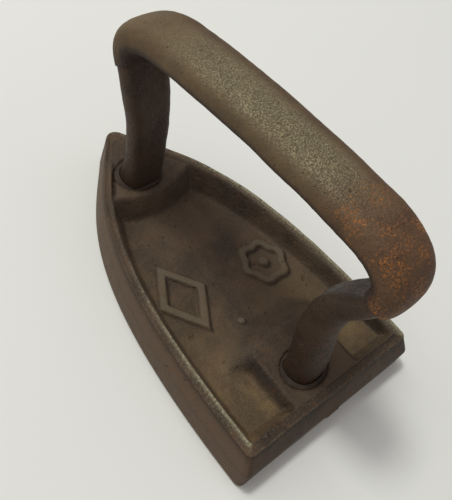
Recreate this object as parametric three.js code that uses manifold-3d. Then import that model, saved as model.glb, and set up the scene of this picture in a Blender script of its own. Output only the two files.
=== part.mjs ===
// An old flat iron for clothes: a cast-iron body with a tray-like top, and a forged hoop handle.
// The hoop's two feet stand in sockets in the casting, and it carries a rolled sheet-iron grip.
// Millimetres, +Z up, nose towards +Y.

import * as THREE from "three";
import { mergeVertices } from "three/addons/utils/BufferGeometryUtils.js";
import Module from "manifold-3d";

const wasm = await Module();
wasm.setup();

// ---- Driving dimensions -------------------------------------------------------------------------

// Body casting
const rimLength = 165; // heel edge of the rim to the nose
const rimSpan = 102.8; // across the widest part of the rim
const heelHeight = 20.3; // sole to rim at the heel
const noseHeight = 18.4; // sole to rim at the nose
const heelFlare = 4.6; // how far the sole reaches behind the rim
const sideFlare = 2.8; // how far the sole reaches outside the rim on each side
const flareTop = 11; // height up to which the walls stand upright
const heelCornerRadius = 3;
const noseRadius = 5;
const rimBand = 4.4; // width of the flat rim round the tray
const heelDepth = 5.3; // rim down to the tray's floor at the heel
const noseDepth = 13; // the same at the nose
const wallSlope = 0.5; // inward run of the tray's wall for each millimetre of depth

// Bosses that hold the handle's feet
const frontBossReach = 39; // nose to the middle of the front boss's rear face
const frontBossBow = 46; // radius to which that face bows out
const frontBossSlope = 0.6; // outward run of its rear face for each millimetre of depth
const rearBossSpan = 37;
const rearBossReach = 36; // heel edge of the rim to the boss's front face
const rearBossCorner = 5;
const rearBossSlope = 0.7;
const socketFloor = 4.5; // metal left under each socket
const socketSpread = 1.2; // how much wider a socket is at its bottom, which locks its filling in

// Handle: a hoop of half-round bar, flat side inwards
const feetSide = -3.2; // where the feet and posts stand across, for the hoop was set by hand
const gripSide = 0.8; // the same for the grip
const frontFootInset = 27.3; // nose to the middle of the front foot
const rearFootInset = 17; // heel edge of the rim to the middle of the rear foot
const frontLean = 20.6; // how far the front bend reaches ahead of the front foot
const rearBow = 6.5; // how far the rear post bows forward
const rearLean = 6.4; // how far the rear bend reaches behind the rear foot
const gripFrontHeight = 98.4; // sole to the grip's centreline at the front bend
const gripRearHeight = 109.2; // the same at the rear bend
const footHalfWidth = 9.6;
const footHalfThickness = 7.4;
const footSpread = 0.8; // how much wider each foot is at its very end
const shinHalfWidth = 10.4; // the front post above its foot
const postHalfThickness = 5.5;
const frontBendHalfWidth = 11.2;
const rearBendHalfWidth = 11.8;
const waistHalfWidth = 7.4; // the rear post at its narrowest
const waistHalfThickness = 7.6;
const coreHalfWidth = 8.5; // the bar inside the grip
const coreHalfThickness = 3.4;

// Grip: sheet iron rolled round the top of the hoop
const gripHalfWidth = 14.8;
const gripHalfThickness = 6.9;
const gripWall = 1.5;
const gripSeam = 0.8; // slit where the sheet's two edges meet underneath

// Fits
const gap = 0.3; // clearance between pieces that touch
const caulkWidth = 1.4; // iron cement round each foot, at its thinnest
const caulkDrop = 0.6; // how far the cement stays below the rim
const cornerClearX = 0.16; // what an oval socket needs to clear a foot's corners, as a share of its size
const cornerClearY = 0.12;

// Marks cast on the tray's floor
const markHeight = 1.7;
const markStroke = 4.2;
const lozengeX = -23.5;
const lozengeY = -7.5;
const lozengeSpan = 27;
const lozengeLength = 40;
const rosetteX = 23.5;
const rosetteY = -12.5;
const rosetteRadius = 12.2;
const rosetteLobes = 6;
const rosetteSwell = 0.07; // how far each lobe stands out, as a share of the radius
const pipX = -8.5;
const pipY = -31.5;
const pipRadius = 2;
const gateStubWidth = 7;
const gateStubHeight = 5;
const gateStubProud = 0.8;

// ---- Solids -------------------------------------------------------------------------------------

// A closed geometry as a solid that can be joined and cut.
function solid(geometry) {
  geometry.deleteAttribute("normal");
  geometry.deleteAttribute("uv");
  const merged = mergeVertices(geometry, 1e-4);
  return new wasm.Manifold(
    new wasm.Mesh({
      numProp: 3,
      vertProperties: merged.attributes.position.array,
      triVerts: new Uint32Array(merged.index.array),
    }),
  );
}

// A solid as a geometry.
function geometryOf(body) {
  const mesh = body.getMesh();
  const geometry = new THREE.BufferGeometry();
  geometry.setAttribute("position", new THREE.BufferAttribute(mesh.vertProperties, 3));
  geometry.setIndex(new THREE.BufferAttribute(mesh.triVerts, 1));
  geometry.computeVertexNormals();
  return geometry;
}

// A flat shape extruded from 0 to 1 in equal steps, each point then carried to
// place(x, y, share of the way).
function carried(shape, steps, curveSegments, place) {
  const options = { depth: 1, steps, curveSegments, bevelEnabled: false };
  const geometry = new THREE.ExtrudeGeometry(shape, options);
  const points = geometry.attributes.position;
  for (let i = 0; i < points.count; i++) {
    points.setXYZ(i, ...place(points.getX(i), points.getY(i), points.getZ(i)));
  }
  return solid(geometry);
}

const mix = THREE.MathUtils.lerp;

// ---- Body casting -------------------------------------------------------------------------------

const heelY = -rimLength / 2;
const noseY = rimLength / 2;
const frontFootY = noseY - frontFootInset;
const rearFootY = heelY + rearFootInset;
const above = 3; // how far a cut or a joined block runs past the surface it crosses

// How far along the body a point is, from 0 at the heel to 1 at the nose.
const along = (y) => (y - heelY) / rimLength;
const rimHeight = (y) => mix(heelHeight, noseHeight, along(y));
const trayDepth = (y) => mix(heelDepth, noseDepth, along(y));
const floorHeight = (y) => rimHeight(y) - trayDepth(y);

// The rim's outline, moved inwards: one curve for each side, round corners at the heel and a round nose.
function outline(inset) {
  const half = rimSpan / 2 - inset;
  const heel = heelY + inset;
  const nose = noseY - inset * 1.25;
  const corner = Math.max(heelCornerRadius - inset, 2);
  const shoulder = heel + 0.71 * (nose - heel);
  const cheek = heel + 0.82 * (nose - heel);
  const tip = nose - noseRadius * 0.45;
  const shape = new THREE.Shape();
  shape.moveTo(-half + corner, heel);
  shape.lineTo(half - corner, heel);
  shape.absarc(half - corner, heel + corner, corner, -Math.PI / 2, 0, false);
  shape.bezierCurveTo(half, shoulder, half * 0.5, cheek, noseRadius * 0.8, tip);
  shape.quadraticCurveTo(0, nose + noseRadius * 0.3, -noseRadius * 0.8, tip);
  shape.bezierCurveTo(-half * 0.5, cheek, -half, shoulder, -half, heel + corner);
  shape.absarc(-half + corner, heel + corner, corner, Math.PI, Math.PI * 1.5, false);
  return shape;
}

// The block that the tray is cut from: upright walls up to flareTop, then drawn in to the rim.
function bodyBlock() {
  const levels = [0, flareTop / heelHeight, 1];
  const steps = levels.length - 1;
  return carried(outline(0), steps, 16, (x, y, w) => {
    const level = levels[Math.round(w * steps)];
    const flared = level < 1 ? 1 : 0;
    const outX = 1 + (flared * sideFlare) / (rimSpan / 2);
    return [x * outX, y - flared * heelFlare * (1 - along(y)), level * rimHeight(y)];
  });
}

// The tray's hollow. Its wall's profile is given in shares of the depth: height over the floor,
// and inward run.
function trayHollow() {
  const profile = [
    [0, 1.3],
    [0.07, 1.02],
    [0.25, 0.78],
    [1, 0],
    [1.2, -0.2],
  ];
  const steps = profile.length - 1;
  const middle = (heelY + noseY) / 2;
  return carried(outline(rimBand), steps, 16, (x, y, w) => {
    const [up, inward] = profile[Math.round(w * steps)];
    const run = inward * wallSlope * trayDepth(y);
    const movedY = middle + (y - middle) * (1 - run / (rimLength / 2 - rimBand));
    const movedX = x * (1 - run / (rimSpan / 2 - rimBand));
    return [movedX, movedY, floorHeight(movedY) + up * trayDepth(movedY)];
  });
}

// The height of a boss's point, and how far its face has run outwards there: under the floor at 0,
// at the rim half-way, and above it at 1.
const bossHeight = (y, w) =>
  w > 0.5 ? rimHeight(y) + above * (2 * w - 1) : mix(floorHeight(y) - 1, rimHeight(y), 2 * w);
const bossRun = (y, w) => Math.max(0, 1 - 2 * w) * (trayDepth(y) + 1);

// The metal at the nose, up to the rim, behind which the tray begins.
function frontBoss() {
  const side = rimSpan / 2;
  const rise = (side * side) / (2 * frontBossBow);
  const edge = noseY - frontBossReach;
  const shape = new THREE.Shape();
  shape.moveTo(-side, edge + rise);
  shape.quadraticCurveTo(0, edge - rise, side, edge + rise);
  shape.lineTo(side, noseY + rise);
  shape.lineTo(-side, noseY + rise);
  return carried(shape, 2, 24, (x, y, w) => {
    const back = y < noseY ? frontBossSlope * bossRun(y, w) : 0;
    return [x, y - back, bossHeight(y, w)];
  });
}

// The block at the heel, joined to the rim, with sloping flanks.
function rearBoss() {
  const half = rearBossSpan / 2;
  const front = heelY + rearBossReach;
  const cornerY = front - rearBossCorner;
  const shape = new THREE.Shape();
  shape.moveTo(-half, heelY);
  shape.lineTo(half, heelY);
  shape.lineTo(half, cornerY);
  shape.absarc(half - rearBossCorner, cornerY, rearBossCorner, 0, Math.PI / 2, false);
  shape.absarc(rearBossCorner - half, cornerY, rearBossCorner, Math.PI / 2, Math.PI, false);
  return carried(shape, 2, 5, (x, y, w) => {
    const run = rearBossSlope * bossRun(y, w);
    const forward = (run * (y - heelY)) / rearBossReach;
    return [x * (1 + run / half), y + forward, bossHeight(y, w)];
  });
}

function ellipse(halfX, halfY) {
  const shape = new THREE.Shape();
  shape.absellipse(0, 0, halfX, halfY, 0, Math.PI * 2, false, 0);
  return shape;
}

// An upright block of a unit shape round a foot, wider at its bottom by the given spread.
function upright(shape, footY, halfX, halfY, bottom, top, spread) {
  return carried(shape, 1, 16, (x, y, w) => {
    const extra = spread * (1 - w);
    return [feetSide + x * (halfX + extra), footY + y * (halfY + extra), mix(bottom, top, w)];
  });
}

// The oval socket clears the half-round foot's corners by a share of its size, then by the cement's width.
const socketHalfX = footHalfWidth * (1 + cornerClearX) + caulkWidth;
const socketHalfY = footHalfThickness * (1 + cornerClearY) + caulkWidth;
const footBottom = socketFloor + gap;

function socket(footY) {
  const top = rimHeight(footY) + above;
  return upright(ellipse(1, 1), footY, socketHalfX, socketHalfY, socketFloor, top, socketSpread);
}

// A raised mark on the tray's floor, which follows the floor's slope.
function floorMark(shape, centreX, centreY) {
  return carried(shape, 1, 10, (x, y, w) => [
    centreX + x,
    centreY + y,
    floorHeight(centreY + y) + mix(-1, markHeight, w),
  ]);
}

function diamond(halfX, halfY) {
  const corners = [
    [halfX, 0],
    [0, halfY],
    [-halfX, 0],
    [0, -halfY],
  ];
  return corners.map(([x, y]) => new THREE.Vector2(x, y));
}

function lozenge() {
  const halfX = lozengeSpan / 2;
  const halfY = lozengeLength / 2;
  const slant = Math.hypot(halfX, halfY);
  const shape = new THREE.Shape(diamond(halfX, halfY));
  const hole = diamond(halfX - (markStroke * slant) / halfY, halfY - (markStroke * slant) / halfX);
  shape.holes.push(new THREE.Path(hole));
  return floorMark(shape, lozengeX, lozengeY);
}

// A closed ring of points whose radius swells once for each lobe.
function lobes(radius) {
  const count = rosetteLobes * 8;
  return Array.from({ length: count }, (_, i) => {
    const turn = (i / count) * Math.PI * 2;
    const reach = radius * (1 + rosetteSwell * Math.cos(rosetteLobes * turn));
    return new THREE.Vector2(Math.cos(turn) * reach, Math.sin(turn) * reach);
  });
}

function rosette() {
  const shape = new THREE.Shape(lobes(rosetteRadius));
  shape.holes.push(new THREE.Path(lobes(rosetteRadius - markStroke)));
  return floorMark(shape, rosetteX, rosetteY);
}

const pip = (x, y, radius) => floorMark(ellipse(radius, radius), x, y);

// The stub left on the heel where the iron was poured in.
function gateStub() {
  const stub = new THREE.BoxGeometry(gateStubWidth, 2 * gateStubProud, gateStubHeight);
  stub.translate(0, heelY - heelFlare, flareTop - gateStubHeight / 2);
  return solid(stub);
}

function bodyCasting() {
  const hollow = trayHollow().subtract(frontBoss()).subtract(rearBoss());
  return bodyBlock()
    .subtract(hollow)
    .add(lozenge())
    .add(rosette())
    .add(pip(rosetteX, rosetteY, pipRadius * 1.4))
    .add(pip(pipX, pipY, pipRadius))
    .add(gateStub())
    .subtract(socket(frontFootY))
    .subtract(socket(rearFootY));
}

// ---- Handle -------------------------------------------------------------------------------------

const frontRim = rimHeight(frontFootY);
const rearRim = rimHeight(rearFootY);
const frontRise = gripFrontHeight - frontRim;
const rearRise = gripRearHeight - rearRim;

// The hoop's centreline in the plane x = 0, from the end of its front foot over the grip to that of
// its rear foot.
function hoopCentreline() {
  const at = (y, z) => new THREE.Vector3(0, y, z);
  const front = (ahead, up) => at(frontFootY + ahead * frontLean, frontRim + up * frontRise);
  const rear = (ahead, up) => at(rearFootY + ahead, rearRim + up * rearRise);
  const grip = (share, lift) =>
    at(mix(frontFootY, rearFootY, share), mix(gripFrontHeight, gripRearHeight, share) + lift);
  const bend = (from, towardsFrom, towardsTo, to) =>
    new THREE.CubicBezierCurve3(from, towardsFrom, towardsTo, to);
  const frontBend = front(0.88, 0.73);
  const gripFront = grip(-0.02, -1.5);
  const gripRear = grip(0.84, 1.4);
  const rearBend = rear(-rearLean, 0.77);
  const waist = rear(rearBow, 0.42);
  const path = new THREE.CurvePath();
  path.add(new THREE.LineCurve3(at(frontFootY, footBottom), front(0, 0)));
  path.add(bend(front(0, 0), front(0, 0.34), front(0.36, 0.53), frontBend));
  path.add(bend(frontBend, front(1.21, 0.83), front(1.08, 0.95), gripFront));
  path.add(bend(gripFront, grip(0.25, 3.2), grip(0.6, 3), gripRear));
  path.add(bend(gripRear, grip(1, 0.4), rear(-1.55 * rearLean, 0.92), rearBend));
  path.add(bend(rearBend, rear(-0.5 * rearLean, 0.62), rear(rearBow, 0.6), waist));
  path.add(bend(waist, rear(rearBow, 0.24), rear(0, 0.16), rear(0, 0)));
  path.add(new THREE.LineCurve3(rear(0, 0), at(rearFootY, footBottom)));
  return path;
}

const centreline = hoopCentreline();
const curveEnds = centreline.getCurveLengths();

// Stations along the centreline, as shares of its length: where its curves end.
const stations = curveEnds.map((length) => length / curveEnds.at(-1));
const [frontRimAt, frontBendAt, gripFrontAt, ...rearStations] = stations;
const [gripRearAt, rearBendAt, waistAt, rearRimAt, end] = rearStations;
const shinAt = mix(frontRimAt, frontBendAt, 0.35);

// A half size that changes smoothly from one [station, size] to the next.
function sizeAt(sizes, share) {
  const next = Math.max(1, sizes.findIndex(([at]) => at >= share));
  const [from, size] = sizes[next - 1];
  const [to, nextSize] = sizes[next];
  return mix(size, nextSize, THREE.MathUtils.smoothstep(share, from, to));
}

const hoopWidths = [
  [0, footHalfWidth + footSpread],
  [frontRimAt, footHalfWidth],
  [shinAt, shinHalfWidth],
  [frontBendAt, frontBendHalfWidth],
  [gripFrontAt, coreHalfWidth],
  [gripRearAt, coreHalfWidth],
  [rearBendAt, rearBendHalfWidth],
  [waistAt, waistHalfWidth],
  [rearRimAt, footHalfWidth],
  [end, footHalfWidth + footSpread],
];
const hoopThicknesses = [
  [0, footHalfThickness + footSpread],
  [frontRimAt, footHalfThickness],
  [shinAt, postHalfThickness],
  [frontBendAt, postHalfThickness],
  [gripFrontAt, coreHalfThickness],
  [gripRearAt, coreHalfThickness],
  [rearBendAt, postHalfThickness],
  [waistAt, waistHalfThickness],
  [rearRimAt, footHalfThickness],
  [end, footHalfThickness + footSpread],
];

// Where the hoop's middle lies across.
const hoopSides = [
  [0, feetSide],
  [frontBendAt, feetSide],
  [gripFrontAt, gripSide],
  [rearBendAt, gripSide],
  [waistAt, feetSide],
  [end, feetSide],
];

// The grip's outer half sizes: tight round the hoop at its two ends, full in between.
const gripStations = (frontSize, fullSize, rearSize) => [
  [frontBendAt, frontSize + gap + gripWall],
  [gripFrontAt, fullSize],
  [gripRearAt, fullSize],
  [rearBendAt, rearSize + gap + gripWall],
];
const gripWidths = gripStations(frontBendHalfWidth, gripHalfWidth, rearBendHalfWidth);
const gripThicknesses = gripStations(postHalfThickness, gripHalfThickness, postHalfThickness);

// Half-round section of unit half sizes: domed outside, flat inside, with rounded edges.
function halfRound() {
  const shape = new THREE.Shape();
  shape.moveTo(-0.55, -1);
  shape.lineTo(0.55, -1);
  shape.quadraticCurveTo(1, -1, 1, -0.2);
  shape.bezierCurveTo(1, 0.6, 0.62, 1, 0, 1);
  shape.bezierCurveTo(-0.62, 1, -1, 0.6, -1, -0.2);
  shape.quadraticCurveTo(-1, -1, -0.55, -1);
  return shape;
}

// A unit section carried along the centreline between two shares of its length, its +Y side facing outwards.
function swept(section, steps, from, to, halfWidth, halfThickness) {
  return carried(section, steps, 5, (x, y, w) => {
    const share = mix(from, to, w);
    const point = centreline.getPoint(share);
    const tangent = centreline.getTangent(share);
    const across = sizeAt(hoopSides, share) + x * halfWidth(share);
    const outward = y * halfThickness(share);
    return [across, point.y + tangent.z * outward, point.z - tangent.y * outward];
  });
}

function handleHoop() {
  const width = (share) => sizeAt(hoopWidths, share);
  const thickness = (share) => sizeAt(hoopThicknesses, share);
  return swept(halfRound(), 60, 0, 1, width, thickness);
}

function gripSleeve() {
  const past = 0.004; // how far the cuts run past the sleeve's ends, as a share of the hoop
  const within = (share) => THREE.MathUtils.clamp(share, frontBendAt, rearBendAt);
  const width = (share) => sizeAt(gripWidths, within(share));
  const thickness = (share) => sizeAt(gripThicknesses, within(share));
  const outside = swept(halfRound(), 40, frontBendAt, rearBendAt, width, thickness);
  const inside = swept(
    halfRound(),
    42,
    frontBendAt - past,
    rearBendAt + past,
    (share) => width(share) - gripWall,
    (share) => thickness(share) - gripWall,
  );
  const slit = new THREE.Shape();
  slit.moveTo(-1, -1.05);
  slit.lineTo(1, -1.05);
  slit.lineTo(1, -0.6);
  slit.lineTo(-1, -0.6);
  const seam = swept(slit, 42, frontBendAt - past, rearBendAt + past, () => gripSeam / 2, thickness);
  return outside.subtract(inside).subtract(seam);
}

// The iron cement run in round a foot, which the socket's spread holds down.
function caulking(footY) {
  const rim = rimHeight(footY);
  const turned = footY > 0 ? 1 : -1; // each foot's domed side faces away from the other foot
  const fill = upright(
    ellipse(1, 1),
    footY,
    socketHalfX - gap,
    socketHalfY - gap,
    footBottom,
    rim - caulkDrop,
    socketSpread,
  );
  const spread = footSpread * (1 + above / (rim - footBottom));
  const hole = upright(
    halfRound(),
    footY,
    turned * (footHalfWidth + gap),
    turned * (footHalfThickness + gap),
    footBottom - above,
    rim,
    turned * spread,
  );
  return fill.subtract(hole);
}

// ---- Assembly -----------------------------------------------------------------------------------

function piece(name, body, color, roughness, metalness) {
  const mesh = new THREE.Mesh(
    geometryOf(body),
    new THREE.MeshStandardMaterial({ color, roughness, metalness }),
  );
  mesh.name = name;
  return mesh;
}

const iron = new THREE.Group();
iron.add(
  piece("body_casting", bodyCasting(), 0x5c5148, 0.62, 0.6),
  piece("handle_hoop", handleHoop(), 0x544840, 0.58, 0.65),
  piece("grip_sleeve", gripSleeve(), 0x6b6153, 0.5, 0.7),
  piece("front_foot_caulking", caulking(frontFootY), 0x4a3f38, 0.85, 0.3),
  piece("rear_foot_caulking", caulking(rearFootY), 0x4a3f38, 0.85, 0.3),
);

// The origin is on the sole, under the middle of the whole iron.
const extent = new THREE.Box3().setFromObject(iron);
iron.position.y = -(extent.min.y + extent.max.y) / 2;

export default iron;
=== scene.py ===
"""An old flat iron: a rusty cast body with a tray-like top, and a forged hoop handle with a rolled grip.

Everything is in metres in the frame of the CAD model: nose towards +Y, sole on the floor at z = 0.
"""

import bpy
import numpy as np
from mathutils import Matrix, Vector


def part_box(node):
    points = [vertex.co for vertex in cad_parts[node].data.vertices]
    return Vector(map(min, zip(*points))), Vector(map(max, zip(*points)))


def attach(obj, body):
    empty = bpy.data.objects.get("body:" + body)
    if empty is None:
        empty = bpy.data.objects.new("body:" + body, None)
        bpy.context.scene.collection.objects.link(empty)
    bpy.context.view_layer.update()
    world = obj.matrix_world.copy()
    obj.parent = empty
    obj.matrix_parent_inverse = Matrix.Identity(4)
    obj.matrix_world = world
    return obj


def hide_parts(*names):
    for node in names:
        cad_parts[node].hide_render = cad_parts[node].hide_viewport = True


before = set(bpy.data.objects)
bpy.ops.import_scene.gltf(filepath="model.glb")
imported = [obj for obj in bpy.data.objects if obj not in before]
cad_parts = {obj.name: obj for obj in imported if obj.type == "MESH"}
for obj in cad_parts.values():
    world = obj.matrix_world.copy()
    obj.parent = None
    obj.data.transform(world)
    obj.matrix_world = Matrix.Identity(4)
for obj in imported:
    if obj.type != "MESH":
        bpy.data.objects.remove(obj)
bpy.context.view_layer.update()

MM = 0.001

# ---- Sizes ----------------------------------------------------------------------------------------------

body_low, body_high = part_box("body_casting")
hoop_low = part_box("handle_hoop")[0]
grip_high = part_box("grip_sleeve")[1]

# Body casting
NOSE_RADIUS = 5 * MM
HEEL_CORNER = 3 * MM
HEEL_FLARE = 4.6 * MM  # how far the sole reaches behind the rim
SIDE_FLARE = 2.8 * MM  # how far it reaches outside the rim on each side
FLARE_TOP = 11 * MM  # height up to which the walls stand upright
HEEL_HEIGHT = body_high.z
NOSE_HEIGHT = HEEL_HEIGHT - 1.9 * MM
RIM_BAND = 4.4 * MM
RIM_EDGE = 0.7 * MM  # radius of the rim's worn outer edge
RIM_HOLLOW = 0.25 * MM
SOLE_EDGE = 0.9 * MM
HEEL_DEPTH = 5.3 * MM  # rim to the tray's floor at the heel
NOSE_DEPTH = 13 * MM
WALL_SLOPE = 0.5  # inward run of the tray's wall for each unit of depth
WALL_TOP_ROUNDING = 1 * MM
WALL_FOOT_ROUNDING = 3.2 * MM
GATE_STUB_WIDTH = 7 * MM
GATE_STUB_HEIGHT = 5 * MM
GATE_STUB_PROUD = 0.8 * MM

# The rim's outline: control points as shares of the half span and the length, or of the nose's radius
HEEL_PULL = 0.71
NOSE_PULL = (0.5, 0.82)
NOSE_SHOULDER = (0.8, 0.45)
NOSE_CROWN = 0.3
NOSE_INSET = 1.25  # how much faster the nose moves in than the sides do

HALF_SPAN = body_high.x - SIDE_FLARE
HEEL_Y = body_low.y + GATE_STUB_PROUD + HEEL_FLARE
NOSE_Y = body_high.y + (NOSE_SHOULDER[1] - NOSE_CROWN) / 2 * NOSE_RADIUS
RIM_LENGTH = NOSE_Y - HEEL_Y

# Feet and the bosses that hold them
front_low, front_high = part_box("front_foot_caulking")
rear_low, rear_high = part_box("rear_foot_caulking")
FRONT_FOOT_Y = (front_low.y + front_high.y) / 2
REAR_FOOT_Y = (rear_low.y + rear_high.y) / 2
FEET_Y = (FRONT_FOOT_Y, REAR_FOOT_Y)
FEET_SIDE = (front_low.x + front_high.x) / 2  # the hoop was set a little to one side
FOOT_HALF_WIDTH = 9.6 * MM
FOOT_HALF_THICKNESS = 7.4 * MM
FOOT_SPREAD = 0.8 * MM  # how much wider each foot is at its very end
FOOT_BOTTOM = hoop_low.z
FIT = 0.3 * MM
SOCKET_FLOOR = FOOT_BOTTOM - FIT
SOCKET_SPREAD = 1.2 * MM
SOCKET_HALF_X = (front_high.x - front_low.x) / 2 + FIT - SOCKET_SPREAD
SOCKET_HALF_Y = (front_high.y - front_low.y) / 2 + FIT - SOCKET_SPREAD
FRONT_BOSS_EDGE = NOSE_Y - 39 * MM
FRONT_BOSS_BOW = 46 * MM
FRONT_BOSS_SLOPE = 0.6
FRONT_BOSS_ROUNDING = 1.6 * MM
FRONT_BOSS_FILLET = 1.6 * MM
REAR_BOSS_HALF = 18.5 * MM
REAR_BOSS_EDGE = HEEL_Y + 36 * MM
REAR_BOSS_CORNER = 5 * MM
REAR_BOSS_SLOPE = 0.7
REAR_BOSS_FRONT_SLOPE = 1.6
REAR_BOSS_ROUNDING = 1.2 * MM
REAR_BOSS_FILLET = 2.2 * MM
GROOVE_DEPTH = 1.5 * MM  # of the slack groove between the rim and the front boss

# Handle
FRONT_LEAN = 20.6 * MM
REAR_BOW = 6.5 * MM
REAR_LEAN = 6.4 * MM
GRIP_FRONT_HEIGHT = 98.4 * MM
GRIP_REAR_HEIGHT = 109.2 * MM
SHIN_HALF_WIDTH = 10.4 * MM
POST_HALF_THICKNESS = 5.5 * MM
FRONT_BEND_HALF_WIDTH = 11.2 * MM
REAR_BEND_HALF_WIDTH = 11.8 * MM
WAIST_HALF_WIDTH = 7.4 * MM
WAIST_HALF_THICKNESS = 7.6 * MM
CORE_HALF_WIDTH = 8.5 * MM
CORE_HALF_THICKNESS = 3.4 * MM
GRIP_HALF_WIDTH = 14.8 * MM
GRIP_HALF_THICKNESS = 6.9 * MM
GRIP_SIDE = grip_high.x - GRIP_HALF_WIDTH
GRIP_WALL = 1.5 * MM
GRIP_FRONT_WALL = 0.95 * MM  # where it is hammered thin over the front post
GRIP_REAR_ROUNDING = 0.9 * MM
GRIP_SEAM = 0.8 * MM

# Marks on the tray's floor, with x and y from the middle of the rim's length
MARK_HEIGHT = 1.7 * MM
MARK_STROKE = 4.2 * MM
MID_Y = (HEEL_Y + NOSE_Y) / 2
LOZENGE = (-23.5 * MM, MID_Y - 7.5 * MM)
LOZENGE_HALF = (13.5 * MM, 20 * MM)
ROSETTE = (23.5 * MM, MID_Y - 12.5 * MM)
ROSETTE_RADIUS = 12.2 * MM
ROSETTE_LOBES = 6
PIP = (-8.5 * MM, MID_Y - 31.5 * MM)
PIP_RADIUS = 2 * MM
MARK_EDGE = 0.95 * MM  # half the width over which a stroke's side rises

# Drifts of ochre dust in the tray: x and distance from the heel, reach, and strength
DUST_DRIFTS = [
    ((-38 * MM, 14 * MM), 19 * MM, 1.0),
    ((33 * MM, 16 * MM), 15 * MM, 1.0),
    ((24 * MM, 48 * MM), 17 * MM, 0.4),
]
DUST_STRIP = (-33 * MM, 13 * MM, 0.4)  # a strip along the left side: x, reach and strength


# ---- Working with whole arrays --------------------------------------------------------------------------


def mix(a, b, share):
    """From a at a share of 0 to b at 1, in a straight line."""
    return a + (b - a) * share


def smooth_step(value, low, high):
    """From 0 below low to 1 above high, by the cubic 3t^2 - 2t^3."""
    t = np.clip((value - low) / (high - low), 0, 1)
    return t * t * (3 - 2 * t)


def bell(distance, reach):
    """1 at no distance, fading as e to the power of minus (distance / reach) squared."""
    return np.exp(-((distance / reach) ** 2))


def smooth_least(a, b, blend):
    """The lesser of two heights, rounded where they differ by less than blend."""
    near = np.clip(1 - np.abs(a - b) / blend, 0, 1)
    return np.minimum(a, b) - near * near * blend / 4


def swell(points, wavelength, seed):
    """Smooth unevenness, about -1 to 1: twice the mean of sine waves in scattered directions."""
    waves = 16
    dice = np.random.default_rng(seed)
    directions = dice.normal(size=(waves, 3))
    directions /= np.linalg.norm(directions, axis=1, keepdims=True)
    lengths = wavelength * dice.uniform(0.7, 1.5, waves)
    turns = points @ (directions / lengths[:, None]).T + dice.uniform(0, 1, waves)
    return 2 * np.sin(2 * np.pi * turns).mean(axis=-1)


def bezier(controls, t):
    """A Bezier curve of two, three or four control points at the shares t, by repeated mixing."""
    level = [np.asarray(c, float)[None, :] for c in controls]
    t = np.asarray(t)[:, None]
    while len(level) > 1:
        level = [mix(a, b, t) for a, b in zip(level, level[1:])]
    return level[0]


def distance_along(points):
    """How far along an open line each of its points is: the sum of the steps before it."""
    return np.concatenate([[0], np.cumsum(np.linalg.norm(np.diff(points, axis=0), axis=1))])


def grid_faces(rows, columns, close_rows=False):
    """Two triangles for each cell of a grid of rings, which may also join its last row to the first."""
    row = np.arange(rows if close_rows else rows - 1)[:, None]
    column = np.arange(columns)[None, :]
    next_row, next_column = (row + 1) % rows, (column + 1) % columns
    a, b = row * columns + column, row * columns + next_column
    c, d = next_row * columns + next_column, next_row * columns + column
    halves = [np.stack(corners, -1).reshape(-1, 3) for corners in ((a, b, c), (a, c, d))]
    return np.concatenate(halves)


def make_piece(name, points, faces, masks, material):
    """A mesh from points and triangles: doubles merged, flat triangles dropped, and its faces outwards."""
    merge_distance = 0.002 * MM
    points = points.reshape(-1, 3)
    keys = np.round(points / merge_distance).astype(np.int64)
    _, first, merged = np.unique(keys, axis=0, return_index=True, return_inverse=True)
    points = points[first]
    faces = merged.reshape(-1)[faces]
    faces = faces[(faces != np.roll(faces, 1, axis=1)).all(axis=1)]
    corners = points[faces]
    volume = np.einsum("ij,ij->i", corners[:, 0], np.cross(corners[:, 1], corners[:, 2])).sum()
    if volume < 0:
        faces = faces[:, ::-1]
    mesh = bpy.data.meshes.new(name)
    mesh.vertices.add(len(points))
    mesh.vertices.foreach_set("co", points.astype(np.float32).ravel())
    mesh.loops.add(faces.size)
    mesh.loops.foreach_set("vertex_index", faces.astype(np.int32).ravel())
    mesh.polygons.add(len(faces))
    mesh.polygons.foreach_set("loop_start", np.arange(0, faces.size, 3, dtype=np.int32))
    mesh.polygons.foreach_set("use_smooth", np.ones(len(faces), bool))
    mesh.update(calc_edges=True)
    for mask, values in masks.items():
        attribute = mesh.attributes.new(mask, "FLOAT", "POINT")
        attribute.data.foreach_set("value", values.reshape(-1)[first].astype(np.float32))
    mesh.materials.append(material)
    piece = bpy.data.objects.new(name, mesh)
    bpy.context.scene.collection.objects.link(piece)
    return piece


# ---- Body casting ---------------------------------------------------------------------------------------


def along(y):
    """How far along the body a point is, from 0 at the heel to 1 at the nose."""
    return (y - HEEL_Y) / RIM_LENGTH


def rim_height(y):
    """The rim's height, which falls in a straight line from the heel to the nose."""
    return mix(HEEL_HEIGHT, NOSE_HEIGHT, along(y))


def tray_depth(y):
    """How far the tray's floor lies below the rim: deeper in a straight line towards the nose."""
    return mix(HEEL_DEPTH, NOSE_DEPTH, along(y))


def evenly(points, count):
    """The same open line drawn with that many points at equal distances along it."""
    travelled = distance_along(points)
    places = np.linspace(0, travelled[-1], count)
    return np.stack([np.interp(places, travelled, points[:, axis]) for axis in (0, 1)], -1)


# Points on each stretch of one half of the rim's outline
HEEL_POINTS, CORNER_POINTS, FLANK_POINTS, NOSE_POINTS = 61, 14, 189, 12


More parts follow.
